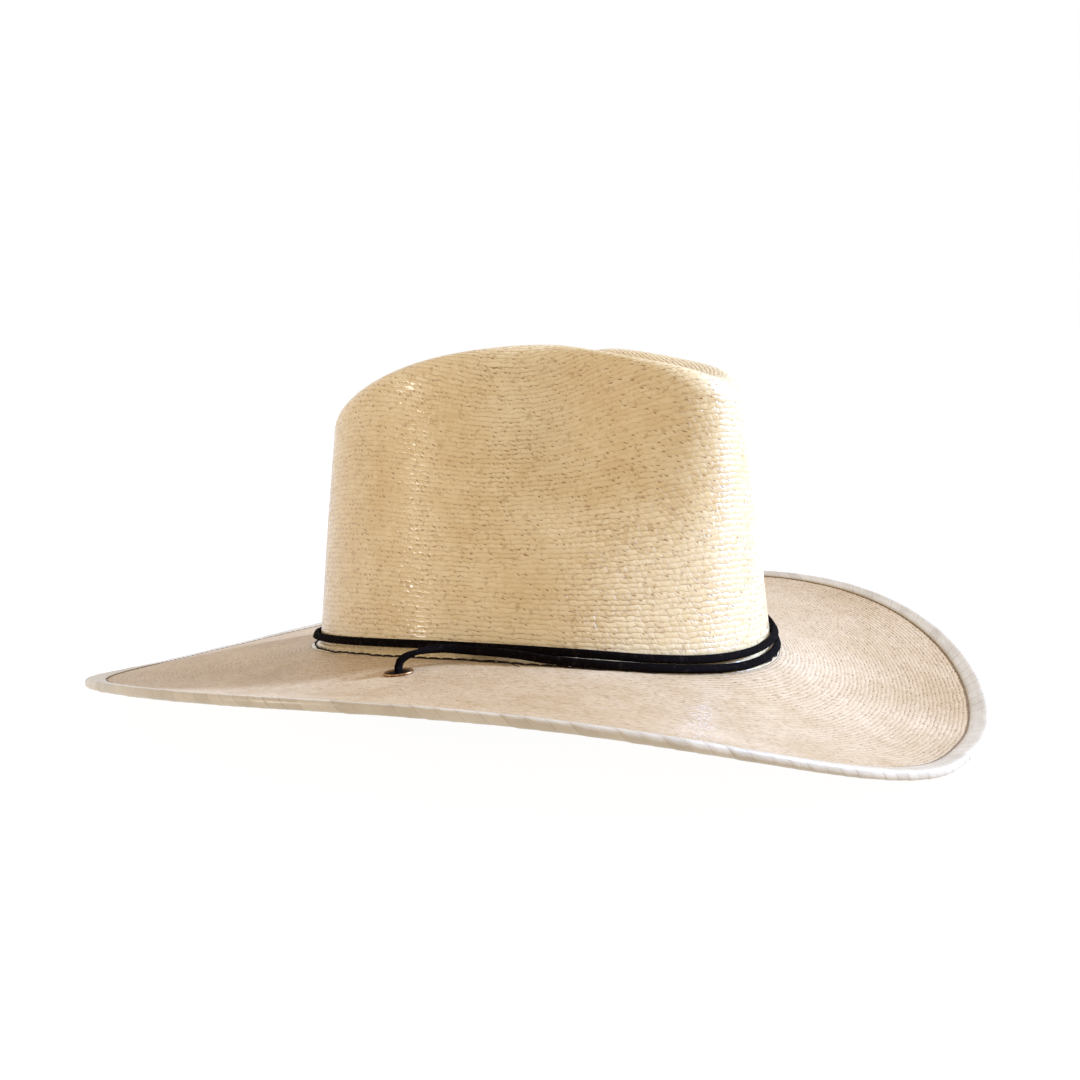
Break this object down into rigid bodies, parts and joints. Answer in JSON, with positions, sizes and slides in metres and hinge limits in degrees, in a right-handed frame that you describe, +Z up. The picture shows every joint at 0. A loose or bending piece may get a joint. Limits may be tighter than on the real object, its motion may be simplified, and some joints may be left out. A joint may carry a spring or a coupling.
{
  "type": "cowboy hat",
  "caption": "Woven palm-leaf cowboy hat with a creased crown, rolled brim hem, brass eyelets, leather sweatband and a black lace chin cord with a sliding bead.",
  "frame": {"origin": "on the table that the hat stands on, under the middle of the brim's outline", "axes": "+Z up, -Y towards the front of the hat, +X towards the wearer's left"},
  "size_m": [0.377, 0.3929, 0.1579],
  "materials": {
    "palm": "lacquered woven palm leaf",
    "palm_hem": "lacquered palm leaf, folded and wrapped",
    "wire": "bright drawn wire",
    "thread": "sewing thread",
    "sweatband": "smooth, satin",
    "reed": "extruded rod",
    "eyelet": "satin",
    "lace": "black suede, matte",
    "slide": "turned and oiled"
  },
  "bodies": {
    "hat": {"palm_crown": "palm", "palm_brim": "palm", "brim_hem": "palm_hem", "brim_wire": "wire", "wire_joiner": "wire", "sweatband_thread": "thread", "hem_thread": "thread", "sweatband": "sweatband", "sweatband_reed": "reed", "eyelet_right": "eyelet", "eyelet_left": "eyelet", "eyelet_washer_right": "eyelet", "eyelet_washer_left": "eyelet", "chin_cord_wrap": "lace", "chin_cord_tail_right": "lace", "chin_cord_tail_left": "lace", "chin_cord_knot_right": "lace", "chin_cord_knot_left": "lace"},
    "slide": {"cord_slide": "slide"}
  },
  "joints": [
    {"name": "slide_along_cord", "type": "slide", "parent": "hat", "child": "slide", "axis": [0, -1, 0], "range_m": [0, 0.115]}
  ]
}
